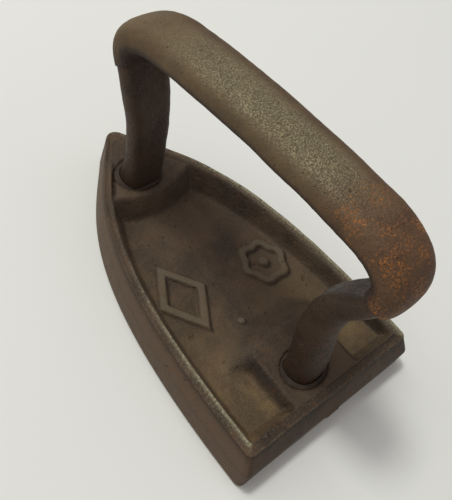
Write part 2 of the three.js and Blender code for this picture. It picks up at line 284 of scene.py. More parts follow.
def outline(inset):
    """The rim's outline moved inwards, as a closed ring of (x, y) that starts at the middle of the heel.

    Each half is a straight heel, a round corner, one cubic curve for the side and a round nose."""
    half = HALF_SPAN - inset
    heel = HEEL_Y + inset
    nose = NOSE_Y - inset * NOSE_INSET
    corner = max(HEEL_CORNER - inset, 2 * MM)
    shoulder = (NOSE_RADIUS * NOSE_SHOULDER[0], nose - NOSE_RADIUS * NOSE_SHOULDER[1])
    side = [
        (half, heel + corner),
        (half, mix(heel, nose, HEEL_PULL)),
        (half * NOSE_PULL[0], mix(heel, nose, NOSE_PULL[1])),
        shoulder,
    ]
    heel_steps = np.linspace(0, 1, HEEL_POINTS, endpoint=False)
    straight = bezier([(0, heel), (half - corner, heel)], heel_steps)
    turn = np.linspace(-np.pi / 2, 0, CORNER_POINTS, endpoint=False)[:, None]
    centre = np.array([[half - corner, heel + corner]])
    round_corner = centre + corner * np.hstack([np.cos(turn), np.sin(turn)])
    flank = evenly(bezier(side, np.linspace(0, 1, 500)), FLANK_POINTS + 1)[:-1]
    # The nose's quadratic curve, of which one half belongs to each side.
    nose_curve = [shoulder, (0, nose + NOSE_RADIUS * NOSE_CROWN), (-shoulder[0], shoulder[1])]
    round_nose = bezier(nose_curve, np.linspace(0, 0.5, NOSE_POINTS))
    right = np.vstack([straight, round_corner, flank, round_nose])
    left = right[-2:0:-1] * [-1, 1]
    return np.vstack([right, left])


def outward(ring):
    """Unit normals of a closed ring that runs anticlockwise, pointing out of it."""
    run = np.roll(ring, -1, axis=0) - np.roll(ring, 1, axis=0)
    normal = np.stack([run[:, 1], -run[:, 0]], -1)
    return normal / np.linalg.norm(normal, axis=1, keepdims=True)


def spine(ring):
    """Where each point of a ring goes as the ring shrinks: the straight line between the two feet."""
    beside = np.clip(ring[:, 1], REAR_FOOT_Y, FRONT_FOOT_Y)
    return np.stack([np.full(len(ring), FEET_SIDE), beside], -1)


def distance_to(ring, points):
    """Distance from each point to the nearest segment of a closed ring, one row of points at a time."""
    start, run = ring, np.roll(ring, -1, axis=0) - ring
    squared = (run**2).sum(axis=1)

    def row_distance(row):
        # To the nearest point of each segment, at a share of its length held between 0 and 1.
        offset = row[:, None, :] - start[None, :, :]
        share = np.clip((offset * run).sum(axis=-1) / squared, 0, 1)
        return np.linalg.norm(offset - share[..., None] * run, axis=-1).min(axis=1)

    return np.stack([row_distance(row) for row in points])


def rounded_box_distance(x, y, half_x, low_y, high_y, radius):
    """Signed distance to a rounded rectangle about x = 0: positive outside."""
    far_x = np.abs(x) - half_x + radius
    far_y = np.abs(y - (low_y + high_y) / 2) - (high_y - low_y) / 2 + radius
    outside = np.hypot(np.maximum(far_x, 0), np.maximum(far_y, 0))
    return outside + np.minimum(np.maximum(far_x, far_y), 0) - radius


def slope_drop(distance, slope, rounding):
    """Depth below a flat top at a distance past its rounded edge, on a face of that slope."""
    past = np.maximum(distance, 0)
    return (np.sqrt(past**2 + rounding**2) - rounding) / slope


def diamond_distance(x, y, centre, half):
    """Signed distance to a diamond's edge: positive inside."""
    slant = np.hypot(*half)
    share = 1 - np.abs(x - centre[0]) / half[0] - np.abs(y - centre[1]) / half[1]
    return share * half[0] * half[1] / slant


def stroke(distance):
    """1 within a mark's stroke, which runs inside an outline, with soft edges."""
    inside = smooth_step(distance, -MARK_EDGE, MARK_EDGE)
    return inside * (1 - smooth_step(distance, MARK_STROKE - MARK_EDGE, MARK_STROKE + MARK_EDGE))


def marks(x, y):
    """The raised marks as a share of their height: a diamond ring, a lobed ring with a boss, and a pip.

    The lobed ring's radius swells and shrinks with the cosine of the lobes times the angle."""
    lobe = 0.07
    boss_radius, boss_edge, pip_edge = 1.4 * PIP_RADIUS, 0.9 * MM, 0.8 * MM
    lozenge = stroke(diamond_distance(x, y, LOZENGE, LOZENGE_HALF))
    from_x, from_y = x - ROSETTE[0], y - ROSETTE[1]
    reach = np.hypot(from_x, from_y)
    swollen = ROSETTE_RADIUS * (1 + lobe * np.cos(ROSETTE_LOBES * np.arctan2(from_y, from_x)))
    boss = smooth_step(boss_radius - reach, -boss_edge, boss_edge)
    pip = smooth_step(PIP_RADIUS - np.hypot(x - PIP[0], y - PIP[1]), -pip_edge, pip_edge)
    return np.maximum.reduce([lozenge, stroke(swollen - reach), boss, pip])


def socket_radius(x, y, foot_y):
    """Radius in the socket's oval: 1 on its edge."""
    return np.hypot((x - FEET_SIDE) / SOCKET_HALF_X, (y - foot_y) / SOCKET_HALF_Y)


def snap_to_socket(points, foot_y):
    """Moves the points that lie close to a socket's edge onto it, just inside or just outside."""
    reach, close = 0.085, 0.004
    centre = np.array([FEET_SIDE, foot_y])
    radius = socket_radius(points[..., 0], points[..., 1], foot_y)
    target = np.where(radius < 1, 1 - close, 1 + close)
    near = np.abs(radius - 1) < reach
    scale = np.where(near, target / np.maximum(radius, 1e-6), 1)
    return centre + (points - centre) * scale[..., None]


def tray_rings(inner):
    """Flat rings from the rim's inner edge to the spine, closer together down the wall than on the floor."""
    wall_share = 0.2
    wall_steps, floor_steps = np.linspace(0, wall_share, 28), np.linspace(wall_share, 1, 76)
    shares = np.concatenate([wall_steps[1:], floor_steps[1:]])[:, None, None]
    flat = mix(inner[None], spine(inner)[None], shares)
    for foot_y in FEET_Y:
        flat = snap_to_socket(flat, foot_y)
    return flat


def boss_front(y):
    """From 0 on the rear boss to 1 just ahead of it."""
    return smooth_step(y - REAR_BOSS_EDGE, -6 * MM, 1 * MM)


def tray_drop(x, y, wall):
    """How far the tray lies below the rim: the least of three depths, rounded where they meet.

    They are the tray's own, which falls along its wall to the floor, and those beside the front boss,
    whose edge is a shallow bow, and beside the rear boss, whose front face slopes out further."""
    level = np.dstack([x, y, np.zeros_like(x)])
    own = smooth_least(slope_drop(wall, WALL_SLOPE, WALL_TOP_ROUNDING), tray_depth(y), WALL_FOOT_ROUNDING)
    front_edge = FRONT_BOSS_EDGE + x**2 / (2 * FRONT_BOSS_BOW) + 0.5 * MM * swell(level, 18 * MM, seed=3)
    front = slope_drop(front_edge - y, FRONT_BOSS_SLOPE, FRONT_BOSS_ROUNDING)
    behind = HEEL_Y - RIM_BAND
    rear_edge = rounded_box_distance(x, y, REAR_BOSS_HALF, behind, REAR_BOSS_EDGE, REAR_BOSS_CORNER)
    rear_edge += 0.4 * MM * swell(level, 14 * MM, seed=4)
    rear_slope = mix(REAR_BOSS_SLOPE, REAR_BOSS_FRONT_SLOPE, boss_front(y))
    rear = slope_drop(rear_edge, rear_slope, REAR_BOSS_ROUNDING)
    depth = smooth_least(own, front, FRONT_BOSS_FILLET)
    return np.maximum(smooth_least(depth, rear, REAR_BOSS_FILLET), 0)


def floor_share(y, depth):
    """1 on the tray's floor, 0 on its walls and bosses."""
    return smooth_step(depth / tray_depth(y), 0.82, 0.97)


def boss_share(depth):
    """1 on the tops of the bosses, which are level with the rim, and 0 below them."""
    return 1 - smooth_step(depth, 0.1 * MM, 1.2 * MM)


def slack_groove(x, y, wall, depth):
    """A bell-shaped groove between the rim and the front boss, from 0 to 1, shallower on the right."""
    groove = bell(wall - 1.3 * MM, 0.9 * MM) * boss_share(depth)
    groove *= smooth_step(y, FRONT_BOSS_EDGE + 2 * MM, FRONT_BOSS_EDGE + 9 * MM)
    groove *= 1 - smooth_step(y, FRONT_FOOT_Y + 4 * MM, FRONT_FOOT_Y + 12 * MM)
    return groove * np.where(x < 0, 1.0, 0.45)


def tray_masks(x, y, wall, depth, groove, gap):
    """How much dust, wear, raised crest and painted shade each point of the tray has, from 0 to 1."""
    on_floor, on_boss, ahead = floor_share(y, depth), boss_share(depth), boss_front(y)
    raised = marks(x, y) * on_floor
    from_heel = y - HEEL_Y
    flank_distance = np.abs(np.abs(x) - REAR_BOSS_HALF)
    boss_flank = smooth_step(6 * MM - flank_distance, 0, 3 * MM) * (y < REAR_BOSS_EDGE)

    strip_x, strip_reach, strip_strength = DUST_STRIP
    settled = strip_strength * bell(x - strip_x, strip_reach) * (1 - smooth_step(along(y), 0.4, 0.75))
    for (drift_x, drift_y), reach, strength in DUST_DRIFTS:
        settled += strength * bell(np.hypot(x - drift_x, from_heel - drift_y), reach)
    dust = np.clip(settled, 0, 1) * (1 - 0.6 * raised)
    dust *= np.maximum(on_floor, 0.7 * (1 - on_boss) * (1 - boss_flank))

    # Painted shade on the walls turned away from the light: away from the left and the heel, and beside the
    # rear boss.
    away = np.maximum(smooth_step(x, -6 * MM, 14 * MM), smooth_step(along(y), 0.6, 0.72))
    away *= smooth_step(from_heel, 6 * MM, 11 * MM)
    shaded = (1 - on_floor) * (1 - on_boss) * np.maximum(away, 0.8 * boss_flank) * (1 - 0.7 * ahead)
    # Painted shade along the foot of the walls.
    foot_of_wall = bell(depth / tray_depth(y) - 0.9, 0.09) * (wall < 12 * MM)
    # The side of each mark away from the nose and to the right gets a painted shadow.
    mark_shadow_side = np.clip(marks(x - 0.7 * MM, y + 1.3 * MM) - marks(x, y), 0, 1) * on_floor
    # All of this mask is painted shade: in the socket gaps, along the foot of the walls, in the groove, on
    # the walls turned from the light and on the shadow side of the marks.
    painted_shade = 0.3 * gap + 0.15 * foot_of_wall + 1.1 * groove + 0.9 * shaded + mark_shadow_side

    lip = bell(depth - 0.5 * MM, 0.3 * MM) * (wall > 2 * MM)
    crest = smooth_step(raised, 0.4, 1)
    return {"dust": dust, "worn": 0.3 * lip, "crest": crest, "painted_shade": np.clip(painted_shade, 0, 1)}


def tray_surface(inner):
    """The tray's rings of points, from the rim's inner edge to the spine, and their masks.

    The height is the rim's, less the drop to the walls, bosses and floor. The marks stand up from it, the
    floor sags a little unevenly, and the two sockets go down."""
    flat = tray_rings(inner)
    x, y = flat[..., 0], flat[..., 1]
    level = np.dstack([flat, np.zeros_like(x)])
    wall = distance_to(inner, flat)
    depth = tray_drop(x, y, wall)
    groove = slack_groove(x, y, wall, depth)
    sag = 0.35 * MM * swell(level, 26 * MM, seed=5) + 0.12 * MM * swell(level, 7 * MM, seed=6)
    z = rim_height(y) - depth + MARK_HEIGHT * marks(x, y) * floor_share(y, depth)
    z += sag * smooth_step(wall, 0.5 * MM, 2.2 * MM) - GROOVE_DEPTH * groove
    # The metal is rounded down into each socket by a little, and then falls to the socket's floor.
    rounding, round_over = 0.25 * MM, 0.8 * MM
    # The gap mask gives painted shade round each socket's edge.
    gap = np.zeros_like(x)
    for foot_y in FEET_Y:
        radius = socket_radius(x, y, foot_y)
        past = (radius - 1) * SOCKET_HALF_Y
        z -= rounding * np.exp(-np.maximum(past, 0) / round_over)
        z = np.where(radius < 1, SOCKET_FLOOR, z)
        gap = np.maximum(gap, np.exp(-np.abs(past) / round_over))
    return np.dstack([x, y, z]), tray_masks(x, y, wall, depth, groove, gap)


def outer_rows(ring, inner):
    """Rows of points from the sole's spine to its edge, up the walls and over the rim to its inner edge.

    A row is the rim's outline, moved outwards by its share of the flare, moved in or out along its normal,
    and lifted to its height. Returns the points and, for each, a worn mask and a mask of painted shade."""
    normal = outward(ring)
    place = along(ring[:, 1])
    reach = np.stack([ring[:, 0] * SIDE_FLARE / HALF_SPAN, -HEEL_FLARE * (1 - place)], -1)
    rim = rim_height(ring[:, 1])[:, None]
    rows, worn, painted_shade = [], [], []

    def add(flat, height, wear, dark):
        # One row: its points at a height, how worn it is and how much painted shade it has.
        rows.append(np.hstack([flat, np.broadcast_to(height, rim.shape)]))
        worn.append(np.broadcast_to(wear, len(ring)))
        painted_shade.append(np.broadcast_to(np.maximum(dark, 0), len(ring)))

    # The sole with its rounded edge, and the upright foot of the walls.
    sole_wear, sole_edge_wear, wall_wear = 0.35, 0.5, 0.12
    sole = ring + reach - normal * SOLE_EDGE
    for share in np.linspace(1, 0, 24):
        add(mix(sole, spine(ring), share), 0, sole_wear, 0)
    for turn in np.linspace(0, np.pi / 2, 6)[1:]:
        add(sole + normal * SOLE_EDGE * np.sin(turn), SOLE_EDGE * (1 - np.cos(turn)), sole_edge_wear, 0)
    # Painted shade darkens the upright wall a little towards its top.
    for share in np.linspace(0, 1, 12)[1:]:
        add(ring + reach, mix(SOLE_EDGE, FLARE_TOP, share), wall_wear * (1 - share), 0.2 * share**6)

    # Handling has worn the rim bright along both sides, least near the nose, and little along the heel.
    on_left = ring[:, 0] < 0
    at_heel = smooth_step(-normal[:, 1], 0.6, 0.95)
    left = mix(0.85, 0.15, smooth_step(place, 0.2, 0.85))
    right = mix(0.95, 0.45, smooth_step(place, 0.6, 0.95))
    rubbed = mix(np.where(on_left, left, right), 0.3, at_heel)
    edge_wear = mix(np.where(on_left, 0.35, 1.0) * rubbed, 0.4, at_heel)

    # The sloping wall, the round edge and the slightly hollow band of the rim.
    # Painted shade: a dark line along the top of the slope and the foot of the rim's round edge, a little at
    # the band's inner edge, and more over the whole heel, which faces away from the light.
    for share in np.linspace(0, 1, 12)[1:]:
        flare = smooth_step(1 - share, 0, 1) * 0.25 + (1 - share) * 0.75
        height = mix(FLARE_TOP, rim - RIM_EDGE, share)
        add(ring + reach * flare, height, 0.1, 0.85 * share**5 + 0.3 * at_heel)
    for turn in np.linspace(0, np.pi / 2, 7)[1:]:
        flat = ring - normal * RIM_EDGE * (1 - np.cos(turn))
        height = rim - RIM_EDGE + RIM_EDGE * np.sin(turn)
        add(flat, height, edge_wear * np.sin(turn), 0.5 * (1 - turn) + 0.4 * at_heel)
    shoulder = ring - normal * RIM_EDGE
    for share in np.linspace(0, 1, 12)[1:]:
        inner_wear = 0.42 + 0.6 * smooth_step(share, 0.4, 0.85)
        outer_wear = 0.45 + 0.5 * (1 - smooth_step(share, 0.1, 0.6))
        wear = np.where(on_left, inner_wear, outer_wear) * rubbed
        height = rim - RIM_HOLLOW * np.sin(np.pi * share)
        add(mix(shoulder, inner, share), height, wear, 0.5 * share**8 + 0.45 * at_heel)
    return np.stack(rows), {"worn": np.stack(worn), "painted_shade": np.stack(painted_shade)}


def gate_stub(x, z):
    """1 on the stub left where the iron was poured in, low in the middle of the heel, with soft edges."""
    middle = FLARE_TOP - GATE_STUB_HEIGHT / 2
    from_side = np.abs(x) - GATE_STUB_WIDTH / 2
    from_top = np.abs(z - middle) - GATE_STUB_HEIGHT / 2
    across = 1 - smooth_step(from_side, -0.6 * MM, 0.6 * MM)
    return across * (1 - smooth_step(from_top, -0.5 * MM, 0.5 * MM))


def body_casting(material):
    """One closed surface of rings: the sole, the walls, the rim, the tray and down to the spine of its floor.

    The walls of a sand casting are a little wavy, and their rim is dented."""
    ring = outline(0)
    inner = outline(RIM_BAND)
    outside, outside_masks = outer_rows(ring, inner)
    tray, in_tray = tray_surface(inner)
    points = np.concatenate([outside, tray])
    x, y, z = points[..., 0], points[..., 1], points[..., 2]
    is_outside = np.zeros(points.shape[:2])
    is_outside[: len(outside)] = 1
    normal = outward(ring)
    wave = 0.22 * MM * swell(points, 30 * MM, seed=1) + 0.1 * MM * swell(points, 8 * MM, seed=2)
    above_sole = smooth_step(z, 0.5 * MM, 3 * MM)
    points[..., :2] += normal * (wave * is_outside * above_sole)[..., None]
    near_rim = smooth_step(z - rim_height(y), -3 * MM, 0)
    points[..., 2] += is_outside * near_rim * (0.16 * MM * swell(points, 14 * MM, seed=8))
    on_heel = is_outside * (y < HEEL_Y - 0.3 * HEEL_FLARE)
    points[..., 1] -= (GATE_STUB_PROUD + wave * 0.2) * gate_stub(x, z) * on_heel

    below_rim = smooth_step(z - rim_height(y), 0, -1 * MM)
    heel_face = smooth_step(-normal[:, 1], 0.6, 0.95)
    # The walls are browner, but the heel face keeps the darker skin: painted shade, as it faces away from the
    # light.
    masks = {"wall": is_outside * below_rim * (1 - 0.75 * heel_face)}
    blank = np.zeros(outside.shape[:2])
    for name, values in in_tray.items():
        masks[name] = np.concatenate([outside_masks.get(name, blank), values])
    faces = grid_faces(*points.shape[:2])
    return make_piece("body_casting_visual", points, faces, masks, material)


# ---- Handle ---------------------------------------------------------------------------------------------


def hoop_line():
    """The hoop's centreline in the plane x = 0, from the front foot over the grip to the rear foot.

    It is a chain of straight lines and cubic curves. Their control points are given from each foot, as shares
    of the front lean and the height, or between the two ends of the grip. Returns dense (y, z) points, the
    share of the length at each, and the shares at which its curves end."""
    front_rim, rear_rim = rim_height(FRONT_FOOT_Y), rim_height(REAR_FOOT_Y)

    # Places by the front post, by the rear post and along the grip.
    def front(ahead, up):
        return FRONT_FOOT_Y + ahead * FRONT_LEAN, mix(front_rim, GRIP_FRONT_HEIGHT, up)

    def rear(ahead, up):
        return REAR_FOOT_Y + ahead, mix(rear_rim, GRIP_REAR_HEIGHT, up)

    def grip(share, lift):
        height = mix(GRIP_FRONT_HEIGHT, GRIP_REAR_HEIGHT, share)
        return mix(FRONT_FOOT_Y, REAR_FOOT_Y, share), height + lift * MM

    front_bend = front(0.88, 0.73)
    grip_front, grip_rear = grip(-0.02, -1.5), grip(0.84, 1.4)
    rear_bend = rear(-REAR_LEAN, 0.77)
    waist = rear(REAR_BOW, 0.42)
    curves = [
        [(FRONT_FOOT_Y, FOOT_BOTTOM), front(0, 0)],
        [front(0, 0), front(0, 0.34), front(0.36, 0.53), front_bend],
        [front_bend, front(1.21, 0.83), front(1.08, 0.95), grip_front],
        [grip_front, grip(0.25, 3.2), grip(0.6, 3), grip_rear],
        [grip_rear, grip(1, 0.4), rear(-1.55 * REAR_LEAN, 0.92), rear_bend],
        [rear_bend, rear(-0.5 * REAR_LEAN, 0.62), rear(REAR_BOW, 0.6), waist],
        [waist, rear(REAR_BOW, 0.24), rear(0, 0.16), rear(0, 0)],
        [rear(0, 0), (REAR_FOOT_Y, FOOT_BOTTOM)],
    ]
    steps = np.linspace(0, 1, 201)
    pieces = [bezier(curve, steps if i == 0 else steps[1:]) for i, curve in enumerate(curves)]
    points = np.vstack(pieces)
    travelled = distance_along(points)
    shares = travelled / travelled[-1]
    ends = shares[np.cumsum([len(piece) for piece in pieces]) - 1]
    return points, shares, ends


LINE, LINE_SHARES, CURVE_ENDS = hoop_line()
FRONT_RIM_AT, FRONT_BEND_AT, GRIP_FRONT_AT, GRIP_REAR_AT = CURVE_ENDS[:4]
REAR_BEND_AT, WAIST_AT, REAR_RIM_AT = CURVE_ENDS[4:7]
FRONT_SHIN_AT = mix(FRONT_RIM_AT, FRONT_BEND_AT, 0.35)


def size_along(stations, share):
    """A half size that changes by smooth steps from one (station, size) to the next."""
    places, sizes = np.array(stations).T
    step = np.clip(np.searchsorted(places, share), 1, len(places) - 1)
    return mix(sizes[step - 1], sizes[step], smooth_step(share, places[step - 1], places[step]))


# The hoop swells a little where the grip's thin front end is hammered down on it.
SWELL_HALF_WIDTH = FRONT_BEND_HALF_WIDTH + 0.9 * MM
SWELL_HALF_LENGTH = 0.01

HOOP_WIDTHS = [
    (0, FOOT_HALF_WIDTH + FOOT_SPREAD),
    (FRONT_RIM_AT, FOOT_HALF_WIDTH),
    (FRONT_SHIN_AT, SHIN_HALF_WIDTH),
    (FRONT_BEND_AT - SWELL_HALF_LENGTH, SWELL_HALF_WIDTH),
    (FRONT_BEND_AT + SWELL_HALF_LENGTH, SWELL_HALF_WIDTH),
    (GRIP_FRONT_AT, CORE_HALF_WIDTH),
    (GRIP_REAR_AT, CORE_HALF_WIDTH),
    (REAR_BEND_AT, REAR_BEND_HALF_WIDTH),
    (WAIST_AT, WAIST_HALF_WIDTH),
    (REAR_RIM_AT, FOOT_HALF_WIDTH),
    (1, FOOT_HALF_WIDTH + FOOT_SPREAD),
]
HOOP_THICKNESSES = [
    (0, FOOT_HALF_THICKNESS + FOOT_SPREAD),
    (FRONT_RIM_AT, FOOT_HALF_THICKNESS),
    (FRONT_SHIN_AT, POST_HALF_THICKNESS),
    (FRONT_BEND_AT, POST_HALF_THICKNESS),
    (GRIP_FRONT_AT, CORE_HALF_THICKNESS),
    (GRIP_REAR_AT, CORE_HALF_THICKNESS),
    (REAR_BEND_AT, POST_HALF_THICKNESS),
    (WAIST_AT, WAIST_HALF_THICKNESS),
    (REAR_RIM_AT, FOOT_HALF_THICKNESS),
    (1, FOOT_HALF_THICKNESS + FOOT_SPREAD),
]
# Where the hoop's middle lies across.
HOOP_SIDES = [
    (0, FEET_SIDE),
    (FRONT_BEND_AT, FEET_SIDE),
    (GRIP_FRONT_AT, GRIP_SIDE),
    (REAR_BEND_AT, GRIP_SIDE),
    (WAIST_AT, FEET_SIDE),
    (1, FEET_SIDE),
]


def grip_stations(front_size, full_size, rear_size):
    """A grip's half size: tight round the hoop at its two ends, full in between."""
    return [
        (FRONT_BEND_AT, front_size + FIT + GRIP_WALL),
        (GRIP_FRONT_AT, full_size),
        (GRIP_REAR_AT, full_size),
        (REAR_BEND_AT, rear_size + FIT + GRIP_WALL),
    ]


GRIP_WIDTHS = grip_stations(FRONT_BEND_HALF_WIDTH, GRIP_HALF_WIDTH, REAR_BEND_HALF_WIDTH)
GRIP_THICKNESSES = grip_stations(POST_HALF_THICKNESS, GRIP_HALF_THICKNESS, POST_HALF_THICKNESS)


def half_round(density, fullness=0):
    """An open half-round section of unit half sizes, from the middle of its flat side round and back to it.

    The fullness squares the dome's shoulders: 0 for a plain dome."""
    steps = np.linspace(0, 1, density)[:-1]
    dome = [(1, -0.2), (1, 0.6 + fullness), (0.62 + fullness, 1), (0, 1)]
    right = [
        bezier([(0, -1), (0.55, -1)], steps),
        bezier([(0.55, -1), (1, -1), (1, -0.2)], steps),
        bezier(dome, np.linspace(0, 1, 2 * density)),
    ]
    right = np.vstack(right)
    return np.vstack([right, right[-2::-1] * [-1, 1]])


def sweep(section, shares, half_widths, half_thicknesses):
    """Carries a unit section along the hoop's line: its first size across, its second along the normal."""
    y = np.interp(shares, LINE_SHARES, LINE[:, 0])
    z = np.interp(shares, LINE_SHARES, LINE[:, 1])
    run = np.gradient(LINE, LINE_SHARES, axis=0)
    run_y = np.interp(shares, LINE_SHARES, run[:, 0])
    run_z = np.interp(shares, LINE_SHARES, run[:, 1])
    length = np.hypot(run_y, run_z)
    out = section[..., 1] * half_thicknesses[:, None]
    x = size_along(HOOP_SIDES, shares)[:, None] + section[..., 0] * half_widths[:, None]
    normal_y, normal_z = (run_z / length)[:, None], (-run_y / length)[:, None]
    return np.dstack([x, y[:, None] + out * normal_y, z[:, None] + out * normal_z])


def hammered(points, centre, depth, wavelength, seed):
    """Points moved in or out from their ring's centre by smooth hammer-work unevenness."""
    away = points - centre
    away /= np.maximum(np.linalg.norm(away, axis=-1, keepdims=True), 1e-6)
    return points + away * (depth * swell(points, wavelength, seed))[..., None]


def bar_masks(section, shares):
    """Masks that follow a bar: how near its crown a point is, how far across, and its share of the length."""
    crown = np.broadcast_to(smooth_step(section[:, 1], -0.5, 1.0), (len(shares), len(section)))
    side = np.broadcast_to(section[:, 0], crown.shape)
    place = np.broadcast_to(shares[:, None], crown.shape)
    return {"crown": crown, "side": side, "place": place}


def handle_hoop(material):
    """The forged bar: a half-round section along the hoop's line, closed by a point at each foot's end."""
    section = half_round(13)[:-1]
    ring_count = 420
    shares = np.linspace(0, 1, ring_count)
    widths = size_along(HOOP_WIDTHS, shares)
    thicknesses = size_along(HOOP_THICKNESSES, shares)
    rings = sweep(section, shares, widths, thicknesses)
    centres = rings.mean(axis=1, keepdims=True)
    # The hammer-work is left out in the sockets and inside the grip.
    fade = 0.03
    bare = smooth_step(shares, FRONT_RIM_AT, FRONT_RIM_AT + fade)
    bare *= smooth_step(shares, 1, REAR_RIM_AT - fade)
    under_grip = smooth_step(shares, FRONT_BEND_AT - fade, FRONT_BEND_AT)
    under_grip *= smooth_step(shares, REAR_BEND_AT + fade, REAR_BEND_AT)
    bare = (bare * (1 - under_grip))[:, None]
    rings = hammered(rings, centres, 0.3 * MM * bare, 16 * MM, seed=11)
    rings = hammered(rings, centres, 0.09 * MM * bare, 4 * MM, seed=12)
    front_end = np.broadcast_to(centres[:1], (1, *rings.shape[1:]))
    rear_end = np.broadcast_to(centres[-1:], (1, *rings.shape[1:]))
    points = np.concatenate([front_end, rings, rear_end])
    masks = bar_masks(section, np.concatenate([[0], shares, [1]]))
    faces = grid_faces(*points.shape[:2])
    return make_piece("handle_hoop_visual", points, faces, masks, material)


def grip_sleeve(material):
    """The rolled sheet: an outer and an inner half-round skin, joined along the slit and round each end.

    Its front end is hammered thin over the post, and its rear end keeps its thickness and a round edge."""
    section = half_round(18, 0.1)
    ring_count = 330
    shares = mix(FRONT_BEND_AT, REAR_BEND_AT, np.linspace(0, 1, ring_count))
    widths = size_along(GRIP_WIDTHS, shares)
    thicknesses = size_along(GRIP_THICKNESSES, shares)
    length = distance_along(LINE)[-1]
    from_front, from_rear = (shares - shares[0]) * length, (shares[-1] - shares) * length
    inwards = np.maximum(GRIP_REAR_ROUNDING - from_rear, 0)
    near_front = 1 - smooth_step(from_front, 0, 14 * MM)
    draw = GRIP_REAR_ROUNDING - np.sqrt(GRIP_REAR_ROUNDING**2 - inwards**2)
    draw += (GRIP_WALL - GRIP_FRONT_WALL) * near_front
    flatter = draw + 0.7 * MM * near_front  # the crown is hammered lower still
    outer = sweep(section, shares, widths - draw, thicknesses - flatter)
    inner = sweep(section, shares, widths - GRIP_WALL, thicknesses - GRIP_WALL)
    centres = outer.mean(axis=1, keepdims=True)
    steady = smooth_step(from_front, 0, 12 * MM)[:, None]
    outer = hammered(outer, centres, 0.3 * MM * steady, 24 * MM, seed=21)
    outer = hammered(outer, centres, 0.07 * MM * steady, 3.5 * MM, seed=22)
    # The slit: both skins stop half its width from the middle of the flat side.
    for skin in (outer, inner):
        middle = (skin[:, 0, 0] + skin[:, -1, 0]) / 2
        skin[:, 0, 0] = middle + GRIP_SEAM / 2
        skin[:, -1, 0] = middle - GRIP_SEAM / 2
    points = np.concatenate([outer, inner[:, ::-1]], axis=1)
    rows, columns = points.shape[:2]
    count = outer.shape[1]
    strip = np.arange(count - 1)
    facing = columns - 1 - strip
    caps = []
    for start, flip in ((0, 1), ((rows - 1) * columns, -1)):
        quad = np.stack([strip, facing, facing - 1, strip + 1], -1) + start
        caps += [quad[:, [0, 1, 2]][:, ::flip], quad[:, [0, 2, 3]][:, ::flip]]
    faces = np.concatenate([grid_faces(rows, columns), *caps])
    masks = bar_masks(np.concatenate([section, section[::-1]]), shares)
    # The flat side and the inside get painted shade, and the end that is hammered down over the front post is
    # dark too.
    heights = np.concatenate([section[:, 1], np.full(len(section), -1)])
    beneath = 1 - smooth_step(heights, -0.6, -0.15)
    hammered_down = 0.85 * (1 - smooth_step(from_front, 0, 9 * MM))
    masks["under"] = np.maximum(beneath, hammered_down[:, None])
    return make_piece("grip_sleeve_visual", points, faces, masks, material)


def caulking(name, foot_y, material):
    """The iron cement round a foot: between the socket's oval and the foot's half-round, with a low lip.

    Round its section the surface runs up the oval wall, in over the lip, down along the foot and back under.
    Each station of the section mixes the oval with the foot's outline."""
    domed = 1 if foot_y > 0 else -1
    foot = half_round(20)[:-1] * domed
    turn = np.arctan2(foot[:, 1] * SOCKET_HALF_Y / FOOT_HALF_THICKNESS, foot[:, 0])
    oval = np.stack([np.cos(turn), np.sin(turn)], -1)
    top = rim_height(foot_y)
    halfway = mix(FOOT_BOTTOM, top, 0.5)
    # The share of the way in from the oval, and the height above the boss in millimetres.
    lip_profile = [
        (0.0, -1.5), (0.02, -0.35), (0.1, -0.2), (0.2, -0.2), (0.35, -0.15), (0.5, 0.0),
        (0.62, 0.2), (0.74, 0.3), (0.86, 0.2), (0.95, 0.1), (1.0, -0.1),
    ]
    stations = [(0, FOOT_BOTTOM), (0, halfway)]
    stations += [(share, top + lift * MM) for share, lift in lip_profile]
    stations = np.array(stations + [(1, halfway), (1, FOOT_BOTTOM)])
    share, height = stations[:, :1, None], stations[:, 1]
    down = np.clip((top - height) / (top - FOOT_BOTTOM), 0, 1)[:, None, None]
    hairline = 0.08 * MM
    socket_size = np.array([SOCKET_HALF_X - hairline, SOCKET_HALF_Y - hairline]) + SOCKET_SPREAD * down
    foot_size = np.array([FOOT_HALF_WIDTH + hairline, FOOT_HALF_THICKNESS + hairline]) + FOOT_SPREAD * down
    flat = mix(oval[None] * socket_size, foot[None] * foot_size, share) + [FEET_SIDE, foot_y]
    z = np.broadcast_to(height[:, None], flat.shape[:2])
    points = np.dstack([flat, z])
    lumps = 0.15 * MM * smooth_step(z, top - 1.5 * MM, top - 0.5 * MM)
    points[..., 2] += lumps * swell(points, 3.5 * MM, seed=31)
    inwards = np.broadcast_to(share[..., 0], z.shape)
    # Painted shade along both edges of the cement, where it meets the socket's wall and the foot.
    at_edges = np.clip(np.abs(inwards - 0.5) * 8 - 3, 0, 1)
    masks = {"worn": 0.4 * bell(inwards - 0.77, 0.1), "painted_shade": 0.5 * at_edges}
    faces = grid_faces(*points.shape[:2], close_rows=True)
    return make_piece(name, points, faces, masks, material)


# ---- Materials ------------------------------------------------------------------------------------------


def colour(red, green, blue):
    """A colour given as it looks on a screen, 0 to 255, as the linear values that a shader takes."""
    screen = np.array([red, green, blue]) / 255
    linear = np.where(screen <= 0.04045, screen / 12.92, ((screen + 0.055) / 1.055) ** 2.4)
    return (*linear.tolist(), 1.0)


# The body: two tones of casting skin, what lies or shows on it, and its painted shade
CAST_DARK, CAST_PALE, CAST_FLECK = colour(62, 51, 41), colour(86, 71, 56), colour(92, 79, 64)
WALL_BROWN, CREST_GREY = colour(97, 79, 64), colour(100, 89, 73)
OCHRE_DUST, BODY_PAINTED_SHADE = colour(122, 104, 70), colour(30, 24, 21)
BARE_EDGE, BODY_RUST, BODY_PIT = colour(142, 138, 114), colour(110, 76, 46), colour(28, 22, 19)

# The hoop
FORGED_DARK, FORGED_PALE, FORGED_FLECK = colour(54, 42, 33), colour(70, 55, 43), colour(84, 68, 54)
FORGED_RUST, FORGED_PIT = colour(108, 70, 44), colour(30, 24, 21)
